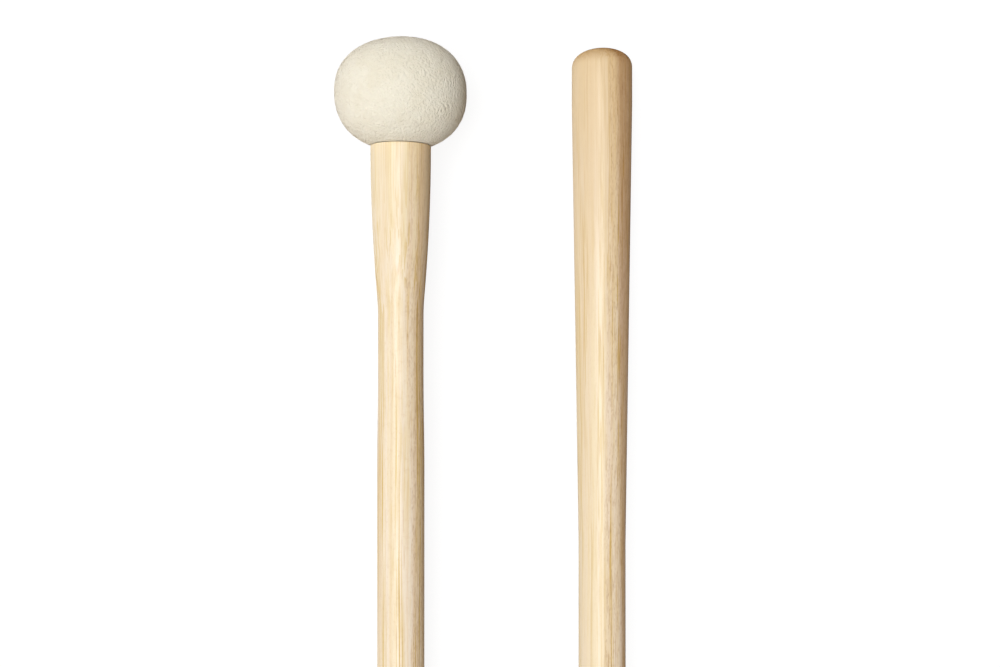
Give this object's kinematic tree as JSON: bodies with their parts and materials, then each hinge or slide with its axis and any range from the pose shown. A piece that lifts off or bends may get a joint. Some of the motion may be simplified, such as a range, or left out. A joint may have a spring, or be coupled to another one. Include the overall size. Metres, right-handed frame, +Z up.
{
  "type": "bass drum mallet",
  "caption": "Loose bass drum mallets lying side by side, head to butt: turned hickory sticks with a flared neck and squashed pressed felt ball heads glued on tenons.",
  "frame": {"origin": "on the table plane, under the middle of the pair", "axes": "+Z up from the table; +Y along the sticks, from the left mallet's butt to its head; +X from the left mallet to the right one, which points the other way"},
  "size_m": [0.1002, 0.368, 0.0392],
  "materials": {
    "hickory": "fine straight grain under a thin satin lacquer",
    "wool_felt": "hard pressed off-white wool felt, sanded, faintly fuzzy",
    "cured_glue": "clear amber wood glue"
  },
  "bodies": {
    "left_mallet": {"left_shaft": "hickory", "left_felt_head": "wool_felt", "left_glue_sleeve": "cured_glue"},
    "right_mallet": {"right_shaft": "hickory", "right_felt_head": "wool_felt", "right_glue_sleeve": "cured_glue"}
  },
  "joints": [
    {"name": "right_mallet_lift", "type": "slide", "parent": "left_mallet", "child": "right_mallet", "axis": [0, 0, 1], "range_m": [0, 0.1]}
  ]
}
